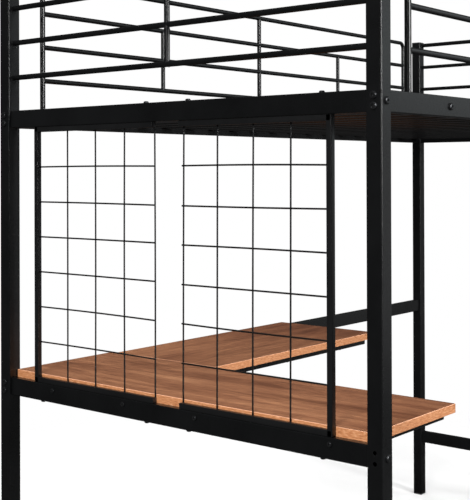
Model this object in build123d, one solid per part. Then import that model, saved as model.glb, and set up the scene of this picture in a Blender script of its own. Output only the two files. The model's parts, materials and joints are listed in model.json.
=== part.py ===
from build123d import *
import os

# Twin loft bed with an L-shaped desk: square steel posts and tube rails, round-bar guards,
# cross slats, two welded wire grids above the desk and two laminated desk boards.
# Frame: +X along the length, +Y towards the back, +Z up, origin on the floor at the centre.

# ---- driving dimensions (mm) ----
LENGTH = 1980.0            # over the posts, along X
WIDTH = 1067.0             # over the posts, along Y
POST = 33.5                # square corner post
POST_WALL = 1.5
POST_CORNER = 3.0          # outside corner radius of the post tube
FOOT_HEIGHT = 5.0
CAP_HEIGHT = 4.0
POST_TOP = 1709.0          # top of the post tube

RAIL_THICK = 20.0
RAIL_HIGH = 41.0
RAIL_WALL = 1.5
RAIL_CORNER = 2.5
PLUG = 12.0                # solid plug welded into each rail end
BED_RAIL_Z = 1352.5        # middle height of the bed rails
DESK_RAIL_Z = 716.5        # middle height of the two desk rails
STRETCHER_Z = 218.5        # middle height of the low stretcher

GUARD_HEIGHTS = [1452.0 + 83.0 * i for i in range(4)]
BAR_D = 12.4               # round guard bar
HOOP_D = 13.0              # round tube of the guard hoops
HOOP_BEND = 20.0
END_TOP_D = 14.0           # top bar of the end guards
TIE_D = 11.6               # short upright ties between the long guards' bars
WELD_IN = 2.0              # a bar's end is this far past the middle of the bar it is welded to
GUARD_BAY = 433.5          # spacing of the long guards' uprights
FRONT_INSET = 120.7        # first upright of the front guard from the end of the bed
BACK_INSET = 118.5
BACK_BAYS = 4
FRONT_BAYS = 3

SLAT_COUNT = 20
SLAT_PITCH = 96.5
SLAT_FIRST = 73.3          # first slat's middle from the left end
SLAT_WIDE = 38.0
SLAT_HIGH = 15.0
SLAT_WALL = 1.2
SLAT_CORNER = 7.0
SLAT_BOTTOM = 1345.0
SLAT_SEAT = 6.0            # how far a slat end reaches into its rail
SLOT_GAP = 0.3
BOLTED_SLATS = (3, 18)     # slats that are bolted to both long rails

BOARD_THICK = 18.0
BOARD_FRONT = 22.5         # front edge of the main board from the left end of the bed
MAIN_DEPTH = 314.5
BOARD_SIDE_GAP = 35.5      # board end from the outside of the bed
RETURN_END = 1050.0        # end of the return board from the left end of the bed
RETURN_INNER = 678.0       # inner edge of the return board from the front
RETURN_OUTER = 1015.0
BOARD_JOINT = 0.6
BOARD_CORNER = 2.0         # rounding of the boards' upright edges
BOARD_EDGE = 0.8           # chamfer around the boards' tops
FRAME_TUBE = 20.0          # square tube under the boards
FRAME_WALL = 1.5
FRAME_CORNER = 2.0
FRAME_SCREWS = (117.5, 450.0, 657.0, 886.0)  # screws through the end desk rail, from the front
MAIN_SCREWS = (90.0, 270.0)                  # board screws from the left end
RETURN_SCREWS = (430.0, 680.0, 930.0)
RETURN_END_SCREWS = (860.0, 980.0)           # from the front
SCREW_DROP = 12.0          # frame screws below the top of the desk rail
FRAME_INSET = 29.5         # desk frame from the board edge
FRAME_END_GAP = 2.0        # end of the return frame from the end of its board
SEAM_LAP = 3.0             # how far the main frame's cross tube reaches past the seam

GRID_BAR = 12.0
GRID_SETBACK = 15.5        # middle of the grids from the left end
GRID_BOLTS = (60.0, 395.0) # bolts of a grid from the middle of the bed
WIRE_D = 3.6
WIRE_PITCH = 92.0
WIRES = 4                  # upright wires in each grid
FIRST_WIRE = 2.5           # first upright wire from the open end of a grid
WIRE_BITE = 0.8            # how deep crossing wires are welded into each other
WIRE_SHIFT = 4.9           # upright wires from the middle of the grid's bars
GRID_ROWS = 6
GRID_GAP_HALF = 37.5       # half of the open gap between the two grids
GRID_OUTER = 419.5         # outside of a grid from the middle of the bed

LADDER_STILE_X = 1548.0    # stile middle from the left end of the bed
RUNG_COUNT = 4
RUNG_FIRST = 280.0
RUNG_PITCH = 265.0
RUNG_DEEP = 30.0
RUNG_HIGH = 20.0
RUNG_CORNER = 4.0

BOLT_D = 8.0
BOLT_HOLE = 8.5
HEAD_D = 15.0
HEAD_H = 4.4
PAIR = 9.7                # half the spacing of a bolt pair
SMALL_D = 5.0
SMALL_HOLE = 5.5
SMALL_HEAD_D = 11.0
SMALL_HEAD_H = 3.8
THREAD_FIT = 0.1           # a threaded hole is this much wider than its bolt
GRID_BOLT_BITE = 7.0       # how far each bolt reaches into the piece that holds it
FRAME_SCREW_BITE = 10.0
STILE_BOLT_BITE = 11.0
BOARD_SCREW_BITE = 9.5
BOARD_SCREW_D = 4.0
BOARD_SCREW_HOLE = 4.4
BOARD_SCREW_HEAD_D = 8.0
BOARD_SCREW_HEAD_H = 2.6
BOARD_BORE = 10.0          # depth of the blind screw holes in the boards
GRID_BORE = 8.0            # depth of the bolt holes in the grid bars

INSERT_PLUG = 10.0         # plastic inserts: depth inside the tube, play, corner and edge
INSERT_PLAY = 0.2
INSERT_CORNER = 1.5
INSERT_EDGE = 1.2
END_CAP_PLATE = 1.5
END_CAP_PLUG = 8.0
END_CAP_CORNER = 0.6

# ---- derived places ----
X0 = -LENGTH / 2
X1 = LENGTH / 2
Y0 = -WIDTH / 2
Y1 = WIDTH / 2
PX0 = X0 + POST / 2        # post middles
PX1 = X1 - POST / 2
PY0 = Y0 + POST / 2
PY1 = Y1 - POST / 2
IX0 = X0 + POST            # inner faces of the posts
IX1 = X1 - POST
IY0 = Y0 + POST
IY1 = Y1 - POST
BED_RAIL_TOP = BED_RAIL_Z + RAIL_HIGH / 2
BED_RAIL_BOTTOM = BED_RAIL_Z - RAIL_HIGH / 2
DESK_TOP = DESK_RAIL_Z + RAIL_HIGH / 2       # boards and grids stand on this level
GRID_X = X0 + GRID_SETBACK                   # middle plane of the grids
FRAME_Z = DESK_TOP - FRAME_TUBE / 2
SCREW_Z = DESK_TOP - SCREW_DROP
SLAT_Z = SLAT_BOTTOM + SLAT_HIGH / 2
SLAT_X = [X0 + SLAT_FIRST + SLAT_PITCH * i for i in range(SLAT_COUNT)]
BOLTED_X = [SLAT_X[i - 1] for i in BOLTED_SLATS]
GRID_BOLT_Y = [side * off for side in (-1, 1) for off in GRID_BOLTS]
FRAME_SCREW_Y = [Y0 + off for off in FRAME_SCREWS]
SEAM_X = X0 + BOARD_FRONT + MAIN_DEPTH
RUNG_Z = [RUNG_FIRST + RUNG_PITCH * i for i in range(RUNG_COUNT)]
STILE_X = X0 + LADDER_STILE_X


def hollow(w, h, wall, r):
    """Section of a rectangular tube with rounded corners."""
    inner = max(r - wall, 0.6)
    return RectangleRounded(w, h, r) - RectangleRounded(w - 2 * wall, h - 2 * wall, inner)


def along_x(section, x0, x1, y, z):
    """Extrude a section whose sides are (Y, Z) from x0 to x1."""
    return Pos(x0, y, z) * extrude(Plane.YZ * section, amount=x1 - x0)


def along_y(section, y0, y1, x, z):
    """Extrude a section whose sides are (X, Z) from y0 to y1."""
    plane = Plane(origin=(0, 0, 0), x_dir=(1, 0, 0), z_dir=(0, 1, 0))
    return Pos(x, y0, z) * extrude(plane * section, amount=y1 - y0)


def along_z(section, z0, z1, x, y):
    return Pos(x, y, z0) * extrude(section, amount=z1 - z0)


def block(x0, x1, y0, y1, z0, z1):
    size = (x1 - x0, y1 - y0, z1 - z0)
    return Pos((x0 + x1) / 2, (y0 + y1) / 2, (z0 + z1) / 2) * Box(*size)


def rod(axis, a, b, p, q, d):
    """Round bar along an axis from a to b; p and q are its other two coordinates in order."""
    disc = Circle(d / 2)
    if axis == "x":
        return along_x(disc, a, b, p, q)
    if axis == "y":
        return along_y(disc, a, b, p, q)
    return along_z(disc, a, b, p, q)


def post(x, y, x_levels, y_levels):
    """Square post tube; x_levels and y_levels are heights of holes bored along X and along Y."""
    body = along_z(hollow(POST, POST, POST_WALL, POST_CORNER), FOOT_HEIGHT, POST_TOP, x, y)
    reach = POST
    for z in x_levels:
        body -= rod("x", x - reach, x + reach, y, z, BOLT_HOLE)
    for z in y_levels:
        body -= rod("y", y - reach, y + reach, x, z, BOLT_HOLE)
    return body


def pair(z):
    return [z - PAIR, z + PAIR]


def rail_x(x0, x1, y, z, bolts):
    """Tube rail along X with a solid plug in each end, bored for the bolts at the given heights."""
    body = along_x(hollow(RAIL_THICK, RAIL_HIGH, RAIL_WALL, RAIL_CORNER), x0, x1, y, z)
    core = RectangleRounded(RAIL_THICK - 2 * RAIL_WALL, RAIL_HIGH - 2 * RAIL_WALL, RAIL_CORNER - RAIL_WALL)
    for a, b in ((x0, x0 + PLUG), (x1 - PLUG, x1)):
        body += along_x(core, a, b, y, z)
        for h in bolts:
            body -= rod("x", a - 1, b + 1, y, h, BOLT_D + THREAD_FIT)
    return body


def rail_y(y0, y1, x, z):
    """Tube rail along Y with a solid plug in each end, bored for one bolt."""
    body = along_y(hollow(RAIL_THICK, RAIL_HIGH, RAIL_WALL, RAIL_CORNER), y0, y1, x, z)
    core = RectangleRounded(RAIL_THICK - 2 * RAIL_WALL, RAIL_HIGH - 2 * RAIL_WALL, RAIL_CORNER - RAIL_WALL)
    for a, b in ((y0, y0 + PLUG), (y1 - PLUG, y1)):
        body += along_y(core, a, b, x, z)
        body -= rod("y", a - 1, b + 1, x, z, BOLT_D + THREAD_FIT)
    return body


def long_bed_rail(y, inward):
    """Long bed rail with a slot for each slat and a bolt hole at each bolted slat."""
    rail = rail_x(IX0, IX1, y, BED_RAIL_Z, pair(BED_RAIL_Z))
    face = y + inward * RAIL_THICK / 2
    slot = RectangleRounded(SLAT_WIDE + 2 * SLOT_GAP, SLAT_HIGH + 2 * SLOT_GAP, SLAT_CORNER)
    ends = sorted((face - inward * (RAIL_WALL + 2), face + inward))
    for x in SLAT_X:
        rail -= along_y(slot, ends[0], ends[1], x, SLAT_Z)
    for x in BOLTED_X:
        rail -= rod("y", y - RAIL_THICK, y + RAIL_THICK, x, SLAT_Z, SMALL_HOLE)
    return rail


def end_bed_rail(x, with_grid):
    rail = rail_y(IY0, IY1, x, BED_RAIL_Z)
    if with_grid:
        for y in GRID_BOLT_Y:
            rail -= rod("z", BED_RAIL_BOTTOM - 1, BED_RAIL_TOP + 1, GRID_X, y, SMALL_HOLE)
    return rail


def end_desk_rail():
    rail = rail_y(IY0, IY1, PX0, DESK_RAIL_Z)
    for y in GRID_BOLT_Y:
        rail -= rod("z", DESK_TOP - RAIL_HIGH - 1, DESK_TOP + 1, GRID_X, y, SMALL_HOLE)
    for y in FRAME_SCREW_Y:
        rail -= rod("x", X0, X0 + POST, y, SCREW_Z, SMALL_HOLE)
    return rail


def back_desk_rail():
    rail = rail_x(IX0, IX1, PY1, DESK_RAIL_Z, pair(DESK_RAIL_Z))
    for x in frame_tie_x():
        rail -= rod("y", PY1 - RAIL_THICK, PY1 + RAIL_THICK, x, FRAME_Z, SMALL_HOLE)
    return rail


def frame_tie_x():
    """Middles of the two cross tubes of the desk frame that reach the back desk rail."""
    seam = SEAM_X + SEAM_LAP - FRAME_TUBE / 2
    end = X0 + RETURN_END - FRAME_END_GAP - FRAME_TUBE / 2
    return [seam, end]


def front_rail_with_stile_hole():
    rail = long_bed_rail(PY0, 1)
    return rail - rod("z", BED_RAIL_BOTTOM - 1, BED_RAIL_TOP + 1, STILE_X, PY0, SMALL_HOLE)


def slat(x):
    """Cross slat; a bolted one has a solid plug in each end."""
    y0 = PY0 + RAIL_THICK / 2 - SLAT_SEAT
    y1 = PY1 - RAIL_THICK / 2 + SLAT_SEAT
    body = along_y(hollow(SLAT_WIDE, SLAT_HIGH, SLAT_WALL, SLAT_CORNER), y0, y1, x, SLAT_Z)
    if x not in BOLTED_X:
        return body
    core = RectangleRounded(SLAT_WIDE - 2 * SLAT_WALL, SLAT_HIGH - 2 * SLAT_WALL, SLAT_CORNER - SLAT_WALL)
    for a, b in ((y0, y0 + PLUG), (y1 - PLUG, y1)):
        body += along_y(core, a, b, x, SLAT_Z)
        body -= rod("y", a - 1, b + 1, x, SLAT_Z, SMALL_D + THREAD_FIT)
    return body


def hoop(x0, x1, y):
    """Bent guard tube: up from the rail, across the top and down again."""
    top = GUARD_HEIGHTS[-1]
    path = FilletPolyline(
        (x0, y, BED_RAIL_TOP), (x0, y, top), (x1, y, top), (x1, y, BED_RAIL_TOP), radius=HOOP_BEND
    )
    disc = Plane(origin=(x0, y, BED_RAIL_TOP), z_dir=(0, 0, 1)) * Circle(HOOP_D / 2)
    return sweep(disc, path=path)


def long_guard(x0, bays, y):
    """Guard along a long side: hoop, three bars, a full upright and short ties between bars."""
    x1 = x0 + bays * GUARD_BAY
    body = hoop(x0, x1, y)
    for z in GUARD_HEIGHTS[:-1]:
        body += rod("x", x0 + WELD_IN, x1 - WELD_IN, y, z, BAR_D)
    for i in range(1, bays):
        x = x0 + i * GUARD_BAY
        if bays == BACK_BAYS and i == 2:
            body += rod("z", BED_RAIL_TOP, GUARD_HEIGHTS[-1], x, y, BAR_D)
        else:
            body += rod("z", GUARD_HEIGHTS[0] + WELD_IN, GUARD_HEIGHTS[-2] - WELD_IN, x, y, TIE_D)
    return body


def end_guard(x):
    """Guard across a short side: four bars between the posts and one upright in the middle."""
    body = rod("z", GUARD_HEIGHTS[0], GUARD_HEIGHTS[-1], x, 0, BAR_D)
    for z in GUARD_HEIGHTS[:-1]:
        body += rod("y", IY0, IY1, x, z, BAR_D)
    return body + rod("y", IY0, IY1, x, GUARD_HEIGHTS[-1], END_TOP_D)


def wire_grid(side):
    """Welded grid: a side bar, a top and a bottom bar, and a mesh of round wires. side is +1 or -1 in Y."""
    z0 = DESK_TOP
    z1 = BED_RAIL_BOTTOM
    half = GRID_BAR / 2
    outer = sorted((side * (GRID_OUTER - GRID_BAR), side * GRID_OUTER))
    run = sorted((side * GRID_GAP_HALF, side * (GRID_OUTER - 1)))
    body = block(GRID_X - half, GRID_X + half, outer[0], outer[1], z0, z1)
    for a in (z0, z1 - GRID_BAR):
        body += block(GRID_X - half, GRID_X + half, run[0], run[1], a, a + GRID_BAR)
    wire_x = GRID_X + WIRE_SHIFT
    row_x = wire_x - WIRE_D + WIRE_BITE
    for i in range(WIRES):
        y = side * (GRID_GAP_HALF + FIRST_WIRE + WIRE_PITCH * i)
        body += rod("z", z0 + half, z1 - half, wire_x, y, WIRE_D)
    step = (z1 - z0 - 2 * GRID_BAR) / (GRID_ROWS + 1)
    reach = sorted((side * GRID_GAP_HALF, side * (GRID_OUTER - half)))
    for i in range(1, GRID_ROWS + 1):
        body += rod("y", reach[0], reach[1], row_x, z0 + GRID_BAR + step * i, WIRE_D)
    for y in GRID_BOLT_Y:
        if y * side > 0:
            body -= rod("z", z0 - 1, z0 + GRID_BORE, GRID_X, y, SMALL_D + THREAD_FIT)
            body -= rod("z", z1 - GRID_BORE, z1 + 1, GRID_X, y, SMALL_D + THREAD_FIT)
    return body


def frame_tube_x(x0, x1, y):
    return along_x(hollow(FRAME_TUBE, FRAME_TUBE, FRAME_WALL, FRAME_CORNER), x0, x1, y, FRAME_Z)


def frame_tube_y(y0, y1, x):
    return along_y(hollow(FRAME_TUBE, FRAME_TUBE, FRAME_WALL, FRAME_CORNER), y0, y1, x, FRAME_Z)


def tie_plug(x, y1):
    core = Rectangle(FRAME_TUBE - 2 * FRAME_WALL, FRAME_TUBE - 2 * FRAME_WALL)
    plug = along_y(core, y1 - PLUG, y1, x, FRAME_Z)
    return plug - rod("y", y1 - PLUG - 1, y1 + 1, x, FRAME_Z, SMALL_D + THREAD_FIT)


def main_frame_edges():
    """Front and back middles, in Y, of the outer tubes of the main desk frame."""
    first = Y0 + BOARD_SIDE_GAP + FRAME_INSET + FRAME_TUBE / 2
    return first, -first


def desk_frame_main():
    """Welded tube frame under the main board, screwed to the end desk rail along its side."""
    h = FRAME_TUBE / 2
    rail_face = PX0 + RAIL_THICK / 2
    seam = frame_tie_x()[0]
    ya, yb = main_frame_edges()
    back = PY1 - RAIL_THICK / 2
    side = frame_tube_y(ya + h, yb - h, rail_face + h)
    cross = frame_tube_y(ya + h, back, seam)
    arm_a = frame_tube_x(rail_face, seam + h, ya)
    arm_b = frame_tube_x(rail_face, seam - h, yb)
    body = side + cross + arm_a + arm_b + tie_plug(seam, back)
    for y in FRAME_SCREW_Y:
        body -= rod("x", rail_face - 1, rail_face + 4, y, SCREW_Z, SMALL_D + THREAD_FIT)
    for x, y in board_screws_main():
        body -= rod("z", DESK_TOP - FRAME_TUBE - 1, DESK_TOP + 1, x, y, BOARD_SCREW_HOLE)
    return body


def desk_frame_return():
    """Welded tube frame under the return board, from the main frame to the back desk rail."""
    h = FRAME_TUBE / 2
    seam, end = frame_tie_x()
    inner = Y0 + RETURN_INNER + FRAME_INSET + h
    back = PY1 - RAIL_THICK / 2
    body = frame_tube_x(seam + h, end + h, inner)
    body += frame_tube_y(inner + h, back, end)
    body += tie_plug(end, back)
    for x, y in board_screws_return():
        body -= rod("z", DESK_TOP - FRAME_TUBE - 1, DESK_TOP + 1, x, y, BOARD_SCREW_HOLE)
    return body


def board_screws_main():
    ya, yb = main_frame_edges()
    return [(X0 + off, y) for y in (ya, yb) for off in MAIN_SCREWS]


def board_screws_return():
    end = frame_tie_x()[1]
    inner = Y0 + RETURN_INNER + FRAME_INSET + FRAME_TUBE / 2
    along = [(X0 + off, inner) for off in RETURN_SCREWS]
    return along + [(end, Y0 + off) for off in RETURN_END_SCREWS]


def board(x0, x1, y0, y1, screws):
    """Laminated board with softened edges and blind screw holes in its underside."""
    body = block(x0, x1, y0, y1, DESK_TOP, DESK_TOP + BOARD_THICK)
    body = fillet(body.edges().filter_by(Axis.Z), BOARD_CORNER)
    body = chamfer(body.faces().sort_by(Axis.Z)[-1].edges(), BOARD_EDGE)
    for x, y in screws:
        body -= rod("z", DESK_TOP - 1, DESK_TOP + BOARD_BORE, x, y, BOARD_SCREW_D)
    return body


def desk_board_main():
    return board(X0 + BOARD_FRONT, SEAM_X, Y0 + BOARD_SIDE_GAP, Y1 - BOARD_SIDE_GAP, board_screws_main())


def desk_board_return():
    return board(
        SEAM_X + BOARD_JOINT, X0 + RETURN_END, Y0 + RETURN_INNER, Y0 + RETURN_OUTER, board_screws_return()
    )


def bolt(length, d, head_d, head_h):
    """Button-head bolt: head above z = 0, shank below it, with a hexagon socket."""
    head = Pos(0, 0, head_h / 2) * Cylinder(head_d / 2, head_h)
    head = fillet(head.edges().sort_by(Axis.Z)[-1], head_h * 0.7)
    socket = Pos(0, 0, head_h - head_h * 0.55) * extrude(RegularPolygon(head_d * 0.2, 6), amount=head_h)
    shank = Pos(0, 0, -length / 2) * Cylinder(d / 2, length)
    return head - socket + shank


TURN = {
    "-x": Rot(0, -90, 0),
    "+x": Rot(0, 90, 0),
    "-y": Rot(90, 0, 0),
    "+y": Rot(-90, 0, 0),
    "+z": Rot(0, 0, 0),
    "-z": Rot(180, 0, 0),
}


def bolts(places, length, d, head_d, head_h):
    """One bolt at each (head side, x, y, z); the head side is the way that the head points."""
    one = bolt(length, d, head_d, head_h)
    return Compound(children=[Pos(x, y, z) * TURN[side] * one for side, x, y, z in places])


def rail_bolt_places():
    places = []
    for y in (PY0, PY1):
        for z in pair(BED_RAIL_Z):
            places += [("-x", X0, y, z), ("+x", X1, y, z)]
    for x in (PX0, PX1):
        places += [("-y", x, Y0, BED_RAIL_Z), ("+y", x, Y1, BED_RAIL_Z)]
    for z in pair(DESK_RAIL_Z):
        places += [("-x", X0, PY1, z), ("+x", X1, PY1, z)]
    places += [("-y", PX0, Y0, DESK_RAIL_Z), ("+y", PX0, Y1, DESK_RAIL_Z)]
    places += [("-y", PX1, Y0, STRETCHER_Z), ("+y", PX1, Y1, STRETCHER_Z)]
    return places


def grid_bolt_places():
    top = [("+z", GRID_X, y, BED_RAIL_TOP) for y in GRID_BOLT_Y]
    low = [("-z", GRID_X, y, DESK_TOP - RAIL_HIGH) for y in GRID_BOLT_Y]
    return top + low


def frame_screw_places():
    face = PX0 - RAIL_THICK / 2
    front = [("-x", face, y, SCREW_Z) for y in FRAME_SCREW_Y]
    return front + [("+y", x, PY1 + RAIL_THICK / 2, FRAME_Z) for x in frame_tie_x()]


def slat_bolt_places():
    out = RAIL_THICK / 2
    places = [("-y", x, PY0 - out, SLAT_Z) for x in BOLTED_X]
    return places + [("+y", x, PY1 + out, SLAT_Z) for x in BOLTED_X]


def board_screw_places():
    return [("-z", x, y, DESK_TOP - FRAME_TUBE) for x, y in board_screws_main() + board_screws_return()]


def rung(z):
    """Ladder tread between the stile and the front right post, with a plug in each end."""
    x0 = STILE_X + POST / 2
    body = along_x(hollow(RUNG_DEEP, RUNG_HIGH, RAIL_WALL, RUNG_CORNER), x0, IX1, PY0, z)
    core = RectangleRounded(RUNG_DEEP - 2 * RAIL_WALL, RUNG_HIGH - 2 * RAIL_WALL, RUNG_CORNER - RAIL_WALL)
    for a, b in ((x0, x0 + PLUG), (IX1 - PLUG, IX1)):
        body += along_x(core, a, b, PY0, z)
        body -= rod("x", a - 1, b + 1, PY0, z, BOLT_D + THREAD_FIT)
    return body


def ladder_stile():
    body = along_z(hollow(POST, POST, POST_WALL, POST_CORNER), FOOT_HEIGHT, BED_RAIL_BOTTOM, STILE_X, PY0)
    core = Rectangle(POST - 2 * POST_WALL, POST - 2 * POST_WALL)
    body += along_z(core, BED_RAIL_BOTTOM - PLUG, BED_RAIL_BOTTOM, STILE_X, PY0)
    body -= rod("z", BED_RAIL_BOTTOM - PLUG - 1, BED_RAIL_BOTTOM + 1, STILE_X, PY0, SMALL_D + THREAD_FIT)
    for z in RUNG_Z:
        body -= rod("x", STILE_X - POST, STILE_X + POST, PY0, z, BOLT_HOLE)
    return body


def rung_bolt_places():
    places = [("-x", STILE_X - POST / 2, PY0, z) for z in RUNG_Z]
    return places + [("+x", X1, PY0, z) for z in RUNG_Z]


def insert(x, y, z_face, up, height):
    """Plastic insert for a post end: a rounded plate outside and a short plug inside the tube."""
    plate = extrude(RectangleRounded(POST, POST, POST_CORNER), amount=height)
    plate = chamfer(plate.faces().sort_by(Axis.Z)[-1].edges(), INSERT_EDGE)
    side = POST - 2 * POST_WALL - INSERT_PLAY
    section = RectangleRounded(side, side, INSERT_CORNER)
    plug = Pos(0, 0, -INSERT_PLUG) * extrude(section, amount=INSERT_PLUG)
    body = plate + plug
    return Pos(x, y, z_face) * (body if up else Rot(180, 0, 0) * body)


def post_caps():
    return Compound(children=[insert(x, y, POST_TOP, True, CAP_HEIGHT) for x in (PX0, PX1) for y in (PY0, PY1)])


def post_feet():
    spots = [(x, y) for x in (PX0, PX1) for y in (PY0, PY1)] + [(STILE_X, PY0)]
    return Compound(children=[insert(x, y, FOOT_HEIGHT, False, FOOT_HEIGHT) for x, y in spots])


def frame_end_cap():
    """Plastic insert in the open tube end of the main desk frame."""
    x = frame_tie_x()[0] + FRAME_TUBE / 2
    y = main_frame_edges()[0]
    side = FRAME_TUBE - 2 * FRAME_WALL - INSERT_PLAY
    plate = along_x(RectangleRounded(FRAME_TUBE, FRAME_TUBE, FRAME_CORNER), x, x + END_CAP_PLATE, y, FRAME_Z)
    return plate + along_x(RectangleRounded(side, side, END_CAP_CORNER), x - END_CAP_PLUG, x, y, FRAME_Z)


def build_parts():
    bed = pair(BED_RAIL_Z)
    desk = pair(DESK_RAIL_Z)
    parts = {
        "post_front_left": post(PX0, PY0, bed + desk, [BED_RAIL_Z, DESK_RAIL_Z]),
        "post_back_left": post(PX0, PY1, bed + desk, [BED_RAIL_Z, DESK_RAIL_Z]),
        "post_back_right": post(PX1, PY1, bed + desk, [BED_RAIL_Z, STRETCHER_Z]),
        "post_front_right": post(PX1, PY0, bed + RUNG_Z, [BED_RAIL_Z, STRETCHER_Z]),
        "post_caps": post_caps(),
        "post_feet": post_feet(),
        "bed_rail_front": front_rail_with_stile_hole(),
        "bed_rail_back": long_bed_rail(PY1, -1),
        "bed_rail_left": end_bed_rail(PX0, True),
        "bed_rail_right": end_bed_rail(PX1, False),
        "desk_rail_left": end_desk_rail(),
        "desk_rail_back": back_desk_rail(),
        "low_stretcher_right": rail_y(IY0, IY1, PX1, STRETCHER_Z),
        "guard_left": end_guard(PX0),
        "guard_right": end_guard(PX1),
        "guard_back": long_guard(X0 + BACK_INSET, BACK_BAYS, PY1),
        "guard_front": long_guard(X0 + FRONT_INSET, FRONT_BAYS, PY0),
        "wire_grid_front": wire_grid(-1),
        "wire_grid_back": wire_grid(1),
        "desk_frame_main": desk_frame_main(),
        "desk_frame_return": desk_frame_return(),
        "desk_frame_end_cap": frame_end_cap(),
        "desk_board_main": desk_board_main(),
        "desk_board_return": desk_board_return(),
        "ladder_stile": ladder_stile(),
        "rail_bolts": bolts(rail_bolt_places(), POST + PLUG - 1, BOLT_D, HEAD_D, HEAD_H),
        "rung_bolts": bolts(rung_bolt_places(), POST + PLUG - 1, BOLT_D, HEAD_D, HEAD_H),
        "grid_bolts": bolts(grid_bolt_places(), RAIL_HIGH + GRID_BOLT_BITE, SMALL_D, SMALL_HEAD_D, SMALL_HEAD_H),
        "frame_screws": bolts(frame_screw_places(), RAIL_THICK + FRAME_SCREW_BITE, SMALL_D, SMALL_HEAD_D,
                              SMALL_HEAD_H),
        "slat_bolts": bolts(slat_bolt_places(), RAIL_THICK - SLAT_SEAT + PLUG - 1, SMALL_D, HEAD_D, HEAD_H),
        "stile_bolt": bolts([("+z", STILE_X, PY0, BED_RAIL_TOP)], RAIL_HIGH + STILE_BOLT_BITE, SMALL_D,
                            SMALL_HEAD_D, SMALL_HEAD_H),
        "board_screws": bolts(board_screw_places(), FRAME_TUBE + BOARD_SCREW_BITE, BOARD_SCREW_D,
                              BOARD_SCREW_HEAD_D, BOARD_SCREW_HEAD_H),
    }
    for i, z in enumerate(RUNG_Z, 1):
        parts[f"ladder_rung_{i}"] = rung(z)
    for i, x in enumerate(SLAT_X, 1):
        parts[f"slat_{i:02d}"] = slat(x)
    return parts


os.makedirs("parts", exist_ok=True)
for name, shape in build_parts().items():
    export_step(shape, f"parts/{name}.step")
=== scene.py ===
import json
import math
import random

import bmesh
import bpy
from mathutils import Matrix, Vector


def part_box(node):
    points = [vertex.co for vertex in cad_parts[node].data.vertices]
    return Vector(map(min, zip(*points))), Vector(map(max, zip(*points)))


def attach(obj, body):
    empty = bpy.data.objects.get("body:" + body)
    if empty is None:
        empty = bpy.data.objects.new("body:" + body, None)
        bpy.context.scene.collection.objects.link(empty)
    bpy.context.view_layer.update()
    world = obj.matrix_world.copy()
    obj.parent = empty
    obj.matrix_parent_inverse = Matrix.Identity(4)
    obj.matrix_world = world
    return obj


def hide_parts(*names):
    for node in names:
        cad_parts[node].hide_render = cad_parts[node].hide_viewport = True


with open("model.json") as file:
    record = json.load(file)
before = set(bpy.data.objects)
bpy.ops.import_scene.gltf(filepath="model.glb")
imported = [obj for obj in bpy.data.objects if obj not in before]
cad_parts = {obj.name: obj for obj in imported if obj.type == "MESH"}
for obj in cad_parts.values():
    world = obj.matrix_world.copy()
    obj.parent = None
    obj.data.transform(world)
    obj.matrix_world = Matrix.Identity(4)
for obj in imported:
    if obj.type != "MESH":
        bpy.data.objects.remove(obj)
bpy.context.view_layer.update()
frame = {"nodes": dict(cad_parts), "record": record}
nodes = frame["nodes"]

SCENE = bpy.context.scene
MM = 0.001


# ---------------------------------------------------------------- node helpers

def new_material(name):
    """An empty node material: returns the material, its node tree and its Principled shader."""
    mat = bpy.data.materials.new(name)
    mat.use_nodes = True
    tree = mat.node_tree
    tree.nodes.clear()
    out = tree.nodes.new("ShaderNodeOutputMaterial")
    shader = tree.nodes.new("ShaderNodeBsdfPrincipled")
    tree.links.new(shader.outputs["BSDF"], out.inputs["Surface"])
    return mat, tree, shader


def math_node(tree, operation, a, b=None, clamp=False):
    node = tree.nodes.new("ShaderNodeMath")
    node.operation = operation
    node.use_clamp = clamp
    for socket, value in zip(node.inputs, (a, b)):
        if value is None:
            continue
        if isinstance(value, (int, float)):
            socket.default_value = value
        else:
            tree.links.new(value, socket)
    return node.outputs[0]


def remap(tree, value, low, high, to_low, to_high):
    node = tree.nodes.new("ShaderNodeMapRange")
    tree.links.new(value, node.inputs["Value"])
    for key, number in zip(("From Min", "From Max", "To Min", "To Max"), (low, high, to_low, to_high)):
        node.inputs[key].default_value = number
    return node.outputs["Result"]


def mapped(tree, scale, offset=(0, 0, 0)):
    """The place on the object in metres, stretched by scale."""
    coord = tree.nodes.new("ShaderNodeTexCoord")
    mapping = tree.nodes.new("ShaderNodeMapping")
    mapping.inputs["Scale"].default_value = scale
    mapping.inputs["Location"].default_value = offset
    tree.links.new(coord.outputs["Object"], mapping.inputs["Vector"])
    return mapping.outputs["Vector"]


def noise(tree, vector, scale, detail=4.0, rough=0.5, distortion=0.0):
    node = tree.nodes.new("ShaderNodeTexNoise")
    node.inputs["Scale"].default_value = scale
    node.inputs["Detail"].default_value = detail
    node.inputs["Roughness"].default_value = rough
    node.inputs["Distortion"].default_value = distortion
    tree.links.new(vector, node.inputs["Vector"])
    return node.outputs["Fac"]


def ramp(tree, value, stops):
    """Colour ramp from a list of (place, (r, g, b))."""
    node = tree.nodes.new("ShaderNodeValToRGB")
    elements = node.color_ramp.elements
    while len(elements) < len(stops):
        elements.new(0.5)
    for element, (place, colour) in zip(elements, stops):
        element.position = place
        element.color = (*colour, 1)
    tree.links.new(value, node.inputs["Fac"])
    return node.outputs["Color"]


def mix(tree, kind, factor, a, b):
    """Mix two colours; the factor and either colour can be a value or a socket."""
    node = tree.nodes.new("ShaderNodeMix")
    node.data_type = "RGBA"
    node.blend_type = kind
    for socket, value in ((node.inputs[0], factor), (node.inputs[6], a), (node.inputs[7], b)):
        if isinstance(value, (int, float)):
            socket.default_value = value
        elif isinstance(value, tuple):
            socket.default_value = (*value, 1)
        else:
            tree.links.new(value, socket)
    return node.outputs[2]


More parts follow.
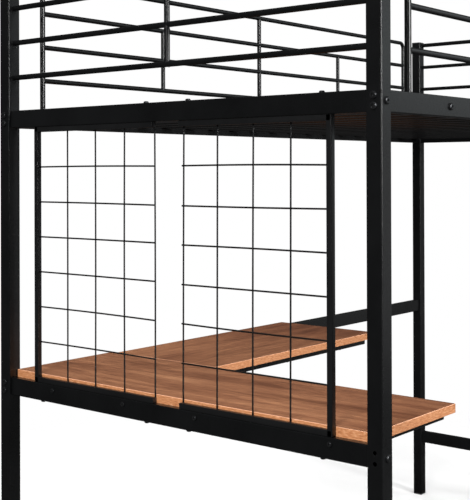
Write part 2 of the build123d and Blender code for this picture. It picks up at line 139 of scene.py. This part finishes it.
def bump(tree, shader, height, strength, distance, normal=None):
    node = tree.nodes.new("ShaderNodeBump")
    node.inputs["Strength"].default_value = strength
    node.inputs["Distance"].default_value = distance
    tree.links.new(height, node.inputs["Height"])
    if normal is not None:
        tree.links.new(normal, node.inputs["Normal"])
    tree.links.new(node.outputs["Normal"], shader.inputs["Normal"])


def edge_mask(tree, radius):
    """0 on flat stretches and up to 1 near an edge, from how far a rounded normal turns; and that normal."""
    bevel = tree.nodes.new("ShaderNodeBevel")
    bevel.samples = 4
    bevel.inputs["Radius"].default_value = radius
    geometry = tree.nodes.new("ShaderNodeNewGeometry")
    dot = tree.nodes.new("ShaderNodeVectorMath")
    dot.operation = "DOT_PRODUCT"
    tree.links.new(bevel.outputs["Normal"], dot.inputs[0])
    tree.links.new(geometry.outputs["Normal"], dot.inputs[1])
    return remap(tree, dot.outputs["Value"], 1.0, 0.8, 0.0, 1.0), bevel.outputs["Normal"]


# ---------------------------------------------------------------- materials

def powder_coat(name, base, rough, edge_radius, seed=0.0):
    """Black powder coat: fine orange peel, faint dust and rubbed edges."""
    mat, tree, shader = new_material(name)
    place = mapped(tree, (1, 1, 1), (seed, seed * 0.7, 0))
    mottle = noise(tree, place, 7.0, 5.0, 0.6)
    speck = noise(tree, place, 900.0, 2.0, 0.6)
    peel = noise(tree, place, 420.0, 3.0, 0.5)
    edge, rounded = edge_mask(tree, edge_radius)
    worn = math_node(tree, "MULTIPLY", edge, remap(tree, noise(tree, place, 60.0), 0.35, 0.7, 0.1, 1.0))
    dark = tuple(c * 0.75 for c in base)
    light = tuple(c * 1.35 for c in base)
    colour = ramp(tree, mottle, [(0.3, dark), (0.7, light)])
    colour = mix(tree, "MIX", remap(tree, speck, 0.62, 0.75, 0.0, 0.25), colour, (0.014, 0.0145, 0.015))
    colour = mix(tree, "MIX", math_node(tree, "MULTIPLY", worn, 0.55), colour, (0.075, 0.077, 0.08))
    tree.links.new(colour, shader.inputs["Base Color"])
    spread = remap(tree, mottle, 0.3, 0.7, rough - 0.04, rough + 0.05)
    spread = math_node(tree, "ADD", spread, remap(tree, speck, 0.3, 0.7, -0.04, 0.04))
    tree.links.new(spread, shader.inputs["Roughness"])
    shader.inputs["Specular IOR Level"].default_value = 0.5
    bump(tree, shader, peel, 0.12, 0.25 * MM, rounded)
    return mat


def moulded_plastic(name):
    """Matt black moulded plastic with a fine spark-eroded grain."""
    mat, tree, shader = new_material(name)
    place = mapped(tree, (1, 1, 1))
    grain = noise(tree, place, 1400.0, 3.0, 0.7)
    cloud = noise(tree, place, 25.0, 3.0)
    edge, rounded = edge_mask(tree, 0.5 * MM)
    colour = ramp(tree, cloud, [(0.3, (0.011, 0.011, 0.012)), (0.7, (0.019, 0.019, 0.02))])
    colour = mix(tree, "MIX", math_node(tree, "MULTIPLY", edge, 0.5), colour, (0.05, 0.05, 0.052))
    tree.links.new(colour, shader.inputs["Base Color"])
    tree.links.new(remap(tree, grain, 0.3, 0.7, 0.5, 0.68), shader.inputs["Roughness"])
    bump(tree, shader, grain, 0.3, 0.12 * MM, rounded)
    return mat


def black_oxide(name):
    """Blackened steel of the screws: darker in the socket, brighter on rubbed rims."""
    mat, tree, shader = new_material(name)
    place = mapped(tree, (1, 1, 1))
    blotch = noise(tree, place, 260.0, 4.0, 0.6)
    edge, rounded = edge_mask(tree, 0.4 * MM)
    colour = ramp(tree, blotch, [(0.3, (0.028, 0.029, 0.031)), (0.7, (0.07, 0.072, 0.076))])
    colour = mix(tree, "MIX", math_node(tree, "MULTIPLY", edge, 0.7), colour, (0.3, 0.3, 0.31))
    tree.links.new(colour, shader.inputs["Base Color"])
    tree.links.new(remap(tree, blotch, 0.3, 0.7, 0.16, 0.3), shader.inputs["Roughness"])
    shader.inputs["Metallic"].default_value = 0.85
    bump(tree, shader, blotch, 0.15, 0.1 * MM, rounded)
    return mat


def board_wood(name, along, seed, painted_shade_span):
    """Brown wood decor with its grain along X or Y, darkened by painted shade towards the far end of the given span,
    with lighter edge bands.
    """
    mat, tree, shader = new_material(name)
    stretch = (0.09, 1.0, 1.0) if along == "X" else (1.0, 0.09, 1.0)
    place = mapped(tree, stretch, (seed, seed * 1.7, 0))
    whole = mapped(tree, (1, 1, 1), (seed * 0.3, seed, 0))

    broad = noise(tree, place, 9.0, 3.0, 0.5, 1.6)
    streak = noise(tree, place, 48.0, 6.0, 0.66, 0.8)
    fibre = noise(tree, place, 420.0, 4.0, 0.65, 0.2)
    drift = noise(tree, whole, 3.4, 2.0, 0.5)
    pore_place = mapped(tree, tuple(0.35 * s if s < 1 else s for s in stretch), (seed, 0, 0))
    pore = noise(tree, pore_place, 700.0, 2.0, 0.5)

    rings = math_node(tree, "ADD", math_node(tree, "MULTIPLY", broad, 9.0), math_node(tree, "MULTIPLY", streak, 1.6))
    rings = math_node(tree, "PINGPONG", rings, 0.5)
    rings = remap(tree, rings, 0.0, 0.5, 0.0, 1.0)
    figure = math_node(tree, "ADD", math_node(tree, "MULTIPLY", broad, 0.5), math_node(tree, "MULTIPLY", streak, 0.42))
    figure = math_node(tree, "ADD", figure, math_node(tree, "MULTIPLY", rings, 0.08))
    colour = ramp(tree, figure, [
        (0.32, (0.120, 0.047, 0.024)),
        (0.42, (0.195, 0.083, 0.042)),
        (0.50, (0.262, 0.116, 0.060)),
        (0.59, (0.335, 0.157, 0.081)),
        (0.70, (0.41, 0.205, 0.108)),
    ])
    colour = mix(tree, "MULTIPLY", 0.7, colour, ramp(tree, fibre, [(0.3, (0.62, 0.56, 0.53)), (0.62, (1.15, 1.12, 1.1))]))
    colour = mix(tree, "MULTIPLY", 0.8, colour, ramp(tree, drift, [(0.35, (0.74, 0.68, 0.66)), (0.65, (1.12, 1.12, 1.08))]))

    coord = tree.nodes.new("ShaderNodeTexCoord")
    where = tree.nodes.new("ShaderNodeSeparateXYZ")
    tree.links.new(coord.outputs["Object"], where.inputs[0])
    # Painted shade: the board is multiplied darker towards one end of the given span, standing in for shade, not a
    # tone of the wood; the grain sways its border.
    sway = math_node(tree, "MULTIPLY", math_node(tree, "SUBTRACT", broad, 0.5), 0.35)
    at = math_node(tree, "ADD", where.outputs[along], sway)
    colour = mix(tree, "MULTIPLY", remap(tree, at, painted_shade_span[0], painted_shade_span[1], 0.0, 1.0), colour, (0.66, 0.60, 0.58))

    knots = tree.nodes.new("ShaderNodeTexVoronoi")
    knots.inputs["Scale"].default_value = 4.6
    knot_place = mapped(tree, tuple(0.45 if s < 1 else s for s in stretch), (seed * 2.3, seed, 0))
    tree.links.new(knot_place, knots.inputs["Vector"])
    knot = remap(tree, knots.outputs["Distance"], 0.012, 0.06, 0.75, 0.0)
    colour = mix(tree, "MIX", knot, colour, (0.095, 0.034, 0.018))
    pores = remap(tree, pore, 0.6, 0.7, 0.0, 0.55)
    colour = mix(tree, "MIX", pores, colour, (0.1, 0.04, 0.024))

    geometry = tree.nodes.new("ShaderNodeNewGeometry")
    split = tree.nodes.new("ShaderNodeSeparateXYZ")
    tree.links.new(geometry.outputs["Normal"], split.inputs[0])
    upright = math_node(tree, "ABSOLUTE", split.outputs["Z"])
    side = remap(tree, upright, 0.35, 0.25, 0.0, 1.0)
    # Chamfered edges between the faces and the sides are painted lighter: partly a worn edge, partly a painted
    # highlight along the edge.
    worn_and_highlit_chamfer = math_node(tree, "MULTIPLY", remap(tree, upright, 0.25, 0.5, 0.0, 1.0), remap(tree, upright, 0.97, 0.85, 0.0, 1.0))

    band_place = mapped(tree, (1, 1, 5))
    band_grain = noise(tree, band_place, 90.0, 5.0, 0.65, 0.3)
    band = ramp(tree, band_grain, [
        (0.34, (0.34, 0.125, 0.052)),
        (0.46, (0.49, 0.200, 0.086)),
        (0.54, (0.56, 0.245, 0.110)),
        (0.66, (0.68, 0.36, 0.20)),
    ])
    colour = mix(tree, "MIX", side, colour, band)
    colour = mix(tree, "MIX", worn_and_highlit_chamfer, colour, (0.68, 0.36, 0.22))
    tree.links.new(colour, shader.inputs["Base Color"])

    tree.links.new(remap(tree, streak, 0.3, 0.7, 0.36, 0.5), shader.inputs["Roughness"])
    shader.inputs["Coat Weight"].default_value = 0.12
    shader.inputs["Coat Roughness"].default_value = 0.3
    relief = math_node(tree, "SUBTRACT", math_node(tree, "MULTIPLY", fibre, 0.6), math_node(tree, "MULTIPLY", pores, 0.8))
    bump(tree, shader, relief, 0.18, 0.15 * MM)
    return mat


METAL = powder_coat("black_powder_coat", (0.0034, 0.0036, 0.0039), 0.28, 0.8 * MM)
WIRE = powder_coat("black_powder_coat_wire", (0.006, 0.0062, 0.0066), 0.34, 0.1 * MM, 4.0)
PLASTIC = moulded_plastic("black_plastic")
OXIDE = black_oxide("black_oxide")
# The last pair is the span over which painted shade darkens each board.
WOOD_Y = board_wood("desk_wood_across", "Y", 3.1, (-0.30, -0.50))
WOOD_X = board_wood("desk_wood_along", "X", 7.4, (-0.40, -0.05))
BY_SLOT = {"black_metal": METAL, "black_plastic": PLASTIC, "black_fastener": OXIDE, "desk_wood": WOOD_Y}


def paint_nodes():
    """Give every carried-over node the material of its record slot."""
    for part in frame["record"]["subparts"]:
        mesh = nodes[part["node"]].data
        mesh.materials.clear()
        mesh.materials.append(BY_SLOT[part["material_slot"]])
    board = nodes["desk_board_return"].data
    board.materials.clear()
    board.materials.append(WOOD_X)


paint_nodes()


# ---------------------------------------------------------------- added and replaced pieces

BAR_R = 6.2 * MM
WIRE_R = 1.8 * MM
GRID_BAR = 12.0 * MM
WIRE_PITCH = 92.0 * MM
GRID_ROWS = 6
AXIS = {"x": Vector((1, 0, 0)), "y": Vector((0, 1, 0)), "z": Vector((0, 0, 1))}


def add_piece(name, bm, slot):
    """Turn a bmesh into a smooth-shaded object that rides on the bed."""
    mesh = bpy.data.meshes.new(name)
    bmesh.ops.recalc_face_normals(bm, faces=bm.faces)
    bm.to_mesh(mesh)
    bm.free()
    for face in mesh.polygons:
        face.use_smooth = True
    mesh.materials.append(BY_SLOT[slot])
    piece = bpy.data.objects.new(name, mesh)
    SCENE.collection.objects.link(piece)
    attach(piece, "root")
    return piece


def skin(bm, rings, closed):
    """Faces between neighbouring rings of vertices; the ends are capped unless the rings close up."""
    count = len(rings[0])
    spans = len(rings) if closed else len(rings) - 1
    for i in range(spans):
        here = rings[i]
        there = rings[(i + 1) % len(rings)]
        for j in range(count):
            k = (j + 1) % count
            bm.faces.new((here[j], here[k], there[k], there[j]))
    if not closed:
        bm.faces.new(rings[0])
        bm.faces.new(rings[-1])


def weld_bead(bm, rng, root, away, bar_r, size, post_axis=None, post_r=0.0):
    """Rippled bead round a bar that leaves root along away, off a flat face or off a round upright."""
    side = away.orthogonal().normalized() if post_axis is None else post_axis
    cross = away.cross(side)
    ripples = rng.randint(9, 12)
    start = rng.uniform(0, math.tau)
    rings = []
    for i in range(40):
        angle = math.tau * i / 40
        out = math.cos(angle) * side + math.sin(angle) * cross
        reach = math.sqrt(max(post_r ** 2 - (bar_r * math.sin(angle)) ** 2, 0.0))
        swell = size * (1 + 0.16 * math.sin(ripples * angle + start) + rng.uniform(-0.05, 0.05))
        middle = root + away * (reach + 0.1 * size) + out * (bar_r + 0.05 * size)
        ring = []
        for j in range(8):
            turn = math.tau * j / 8
            ring.append(bm.verts.new(middle + swell * (math.cos(turn) * out + math.sin(turn) * away)))
        rings.append(ring)
    skin(bm, rings, True)


def guard_welds():
    """Beads where the guard bars meet the posts, the rails and each other."""
    rng = random.Random(5)
    bm = bmesh.new()
    for name in ("guard_left", "guard_right"):
        low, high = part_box(name)
        x = (low[0] + high[0]) / 2
        levels = [low[2] + 83 * MM * i for i in range(4)]
        for i, z in enumerate(levels):
            r = 7.0 * MM if i == 3 else BAR_R
            weld_bead(bm, rng, Vector((x, low[1], z)), AXIS["y"], r, 0.9 * MM)
            weld_bead(bm, rng, Vector((x, high[1], z)), -AXIS["y"], r, 0.9 * MM)
        for z in levels[:3]:
            weld_bead(bm, rng, Vector((x, 0, z)), AXIS["z"], BAR_R, 0.8 * MM, AXIS["y"], BAR_R)
        for z in levels[1:]:
            weld_bead(bm, rng, Vector((x, 0, z)), -AXIS["z"], BAR_R, 0.8 * MM, AXIS["y"], BAR_R)
    for name, bays in (("guard_front", 3), ("guard_back", 4)):
        low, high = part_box(name)
        y = (low[1] + high[1]) / 2
        hoop_r = (high[1] - low[1]) / 2
        ends = (low[0] + hoop_r, high[0] - hoop_r)
        base = low[2]
        levels = [1.452 + 83 * MM * i for i in range(4)]
        for x, away in zip(ends, (AXIS["x"], -AXIS["x"])):
            weld_bead(bm, rng, Vector((x, y, base)), AXIS["z"], hoop_r, 1.0 * MM)
            for z in levels[:3]:
                weld_bead(bm, rng, Vector((x, y, z)), away, BAR_R, 0.8 * MM, AXIS["z"], hoop_r)
        pitch = (ends[1] - ends[0]) / bays
        for i in range(1, bays):
            x = ends[0] + pitch * i
            whole = name == "guard_back" and i == 2
            if whole:
                weld_bead(bm, rng, Vector((x, y, base)), AXIS["z"], BAR_R, 1.0 * MM)
                weld_bead(bm, rng, Vector((x, y, levels[3])), -AXIS["z"], BAR_R, 0.8 * MM, AXIS["x"], hoop_r)
            for z in levels[:2]:
                weld_bead(bm, rng, Vector((x, y, z)), AXIS["z"], BAR_R - 0.4 * MM, 0.8 * MM, AXIS["x"], BAR_R)
            for z in levels[1:3]:
                weld_bead(bm, rng, Vector((x, y, z)), -AXIS["z"], BAR_R - 0.4 * MM, 0.8 * MM, AXIS["x"], BAR_R)
    add_piece("guard_weld_beads", bm, "black_metal")


def tube(bm, path, radius, sides=12):
    """Round wire with softened ends along a list of points."""
    rings = []
    for i, point in enumerate(path):
        ahead = (path[min(i + 1, len(path) - 1)] - path[max(i - 1, 0)]).normalized()
        u = ahead.cross(AXIS["x"]).normalized()
        v = ahead.cross(u)
        rings.append([
            bm.verts.new(point + radius * (math.cos(math.tau * j / sides) * u + math.sin(math.tau * j / sides) * v))
            for j in range(sides)
        ])
    skin(bm, rings, False)


def soft_box(bm, low, high, edge):
    """Box with rounded edges between two corners."""
    made = bmesh.ops.create_cube(bm, size=1.0)["verts"]
    size = Vector(high) - Vector(low)
    middle = (Vector(high) + Vector(low)) / 2
    for vert in made:
        vert.co = Vector(c * s for c, s in zip(vert.co, size)) + middle
    edges = list({e for v in made for e in v.link_edges})
    bmesh.ops.bevel(bm, geom=edges, offset=edge, segments=3, profile=0.5, affect="EDGES")


def wire_grid(name, side, seed, slant):
    """Welded grid with slightly wavy wires: solid square bars, upright wires and row wires behind them."""
    rng = random.Random(seed)
    low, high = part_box(name)
    x_bar = low[0] + GRID_BAR / 2
    z0, z1 = low[2], high[2]
    inner, outer = (high[1], low[1]) if side < 0 else (low[1], high[1])
    near = sorted((outer, outer - side * GRID_BAR))
    bm = bmesh.new()
    soft_box(bm, (x_bar - GRID_BAR / 2, near[0], z0), (x_bar + GRID_BAR / 2, near[1], z1), 0.9 * MM)
    span = sorted((inner, outer - side * 2 * MM))
    for z in (z0, z1 - GRID_BAR):
        soft_box(bm, (x_bar - GRID_BAR / 2, span[0], z), (x_bar + GRID_BAR / 2, span[1], z + GRID_BAR), 0.9 * MM)
    wire_x = high[0] - WIRE_R
    row_x = wire_x - 1.6 * WIRE_R
    first = inner + side * 2.5 * MM
    for i in range(4):
        y = first + side * WIRE_PITCH * i
        lean = slant + rng.uniform(-0.6, 0.6) * MM
        bow = rng.uniform(-1.0, 1.0) * MM
        path = []
        for k in range(25):
            t = k / 24
            path.append(Vector((wire_x, y + lean * t + bow * math.sin(math.pi * t), z0 + 4 * MM + (z1 - z0 - 8 * MM) * t)))
        tube(bm, path, WIRE_R)
    step = (z1 - z0 - 2 * GRID_BAR) / (GRID_ROWS + 1)
    for i in range(1, GRID_ROWS + 1):
        z = z0 + GRID_BAR + step * i
        bow = rng.uniform(-1.2, 1.2) * MM
        start = first + slant * (z - z0) / (z1 - z0) - side * WIRE_R
        tilt = rng.uniform(-1.0, 1.0) * MM
        path = []
        for k in range(21):
            t = k / 20
            y = start + (outer - side * 5 * MM - start) * t
            path.append(Vector((row_x, y, z + bow * math.sin(math.pi * t) + tilt * (1 - t))))
        tube(bm, path, WIRE_R)
    piece = add_piece(name + "_wavy", bm, "black_metal")
    piece.data.materials[0] = WIRE
    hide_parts(name)


guard_welds()
wire_grid("wire_grid_front", -1, 21, -3.6 * MM)
wire_grid("wire_grid_back", 1, 22, -1.0 * MM)


# ---------------------------------------------------------------- stage, light and camera

FLOOR_REACH = 9.0


def floor_paint():
    """Pale matt floor that fades into the surround far from the object, and bounces little light."""
    mat, tree, shader = new_material("floor_paint")
    path = tree.nodes.new("ShaderNodeLightPath")
    shade = remap(tree, path.outputs["Is Camera Ray"], 0.0, 1.0, 0.05, 0.93)
    colour = tree.nodes.new("ShaderNodeCombineColor")
    for socket in colour.inputs:
        tree.links.new(shade, socket)
    tree.links.new(colour.outputs[0], shader.inputs["Base Color"])
    shader.inputs["Roughness"].default_value = 0.9
    shader.inputs["Specular IOR Level"].default_value = 0.1
    coord = tree.nodes.new("ShaderNodeTexCoord")
    length = tree.nodes.new("ShaderNodeVectorMath")
    length.operation = "LENGTH"
    tree.links.new(coord.outputs["Object"], length.inputs[0])
    fade = remap(tree, length.outputs["Value"], 1.0, 2.6, 1.0, 0.0)
    tree.links.new(fade, shader.inputs["Alpha"])
    return mat


def make_floor():
    mesh = bpy.data.meshes.new("floor")
    r = FLOOR_REACH
    mesh.from_pydata([(-r, -r, 0), (r, -r, 0), (r, r, 0), (-r, r, 0)], [], [(0, 1, 2, 3)])
    mesh.materials.append(floor_paint())
    floor = bpy.data.objects.new("floor", mesh)
    SCENE.collection.objects.link(floor)


def area_light(name, place, aim, size, watts, colour=(1, 1, 1), glossy=True):
    data = bpy.data.lights.new(name, "AREA")
    data.shape = "RECTANGLE"
    data.size, data.size_y = size
    data.energy = watts
    data.color = colour
    lamp = bpy.data.objects.new(name, data)
    lamp.location = place
    lamp.visible_glossy = glossy
    lamp.rotation_euler = (Vector(aim) - Vector(place)).to_track_quat("-Z", "Y").to_euler()
    SCENE.collection.objects.link(lamp)


def make_world():
    """A white surround, which lights the object more softly than it shows."""
    world = bpy.data.worlds.new("studio")
    SCENE.world = world
    world.use_nodes = True
    tree = world.node_tree
    tree.nodes.clear()
    out = tree.nodes.new("ShaderNodeOutputWorld")
    shown = tree.nodes.new("ShaderNodeBackground")
    shown.inputs["Strength"].default_value = 1.0
    lit = tree.nodes.new("ShaderNodeBackground")
    lit.inputs["Strength"].default_value = 0.045
    for node in (shown, lit):
        node.inputs["Color"].default_value = (1, 1, 1, 1)
    path = tree.nodes.new("ShaderNodeLightPath")
    blend = tree.nodes.new("ShaderNodeMixShader")
    tree.links.new(path.outputs["Is Camera Ray"], blend.inputs[0])
    tree.links.new(lit.outputs[0], blend.inputs[1])
    tree.links.new(shown.outputs[0], blend.inputs[2])
    tree.links.new(blend.outputs[0], out.inputs["Surface"])


def make_camera():
    """Eye level with the bed, off the grid end's front corner, looking along the bed."""
    data = bpy.data.cameras.new("camera")
    data.sensor_fit = "AUTO"
    data.sensor_width = 36.0
    data.lens = 76.87
    data.shift_y = -0.1673
    data.clip_end = 200.0
    yaw = math.radians(39.526)
    pitch = math.radians(0.24)
    roll = math.radians(-0.184)
    ahead = Vector((math.cos(pitch) * math.cos(yaw), math.cos(pitch) * math.sin(yaw), math.sin(pitch)))
    level = Vector((math.sin(yaw), -math.cos(yaw), 0))
    above = level.cross(ahead)
    right = math.cos(roll) * level + math.sin(roll) * above
    up = math.cos(roll) * above - math.sin(roll) * level
    camera = bpy.data.objects.new("camera", data)
    camera.matrix_world = Matrix.Translation((-2.6079, -1.5326, 1.228)) @ Matrix((right, up, -ahead)).transposed().to_4x4()
    SCENE.collection.objects.link(camera)
    SCENE.camera = camera


make_floor()
make_world()
make_camera()
area_light("top_soft", (-0.5, 0, 5.5), (-0.5, 0, 0), (6, 6), 440, glossy=False)
area_light("left_fill", (-5.6, -1.6, 2.9), (-0.9, 0, 1.0), (1.4, 1.4), 300, (1.0, 0.99, 0.97), glossy=False)
area_light("key_high", (4.0, -3.2, 2.9), (-0.6, -0.5, 1.4), (3.2, 2.6), 17, (0.90, 0.98, 1.0))
area_light("key_low", (4.0, -3.2, 0.7), (-0.6, -0.5, 0.9), (3.2, 1.6), 5, (0.98, 0.99, 1.0))
area_light("front_strip", (-0.6, -5.0, 2.7), (-0.6, 0, 1.6), (0.7, 2.8), 290)
area_light("left_spot", (-5.5, -1.2, 2.4), (-0.9, 0, 1.2), (0.6, 0.6), 30)
SCENE.view_settings.view_transform = "Standard"
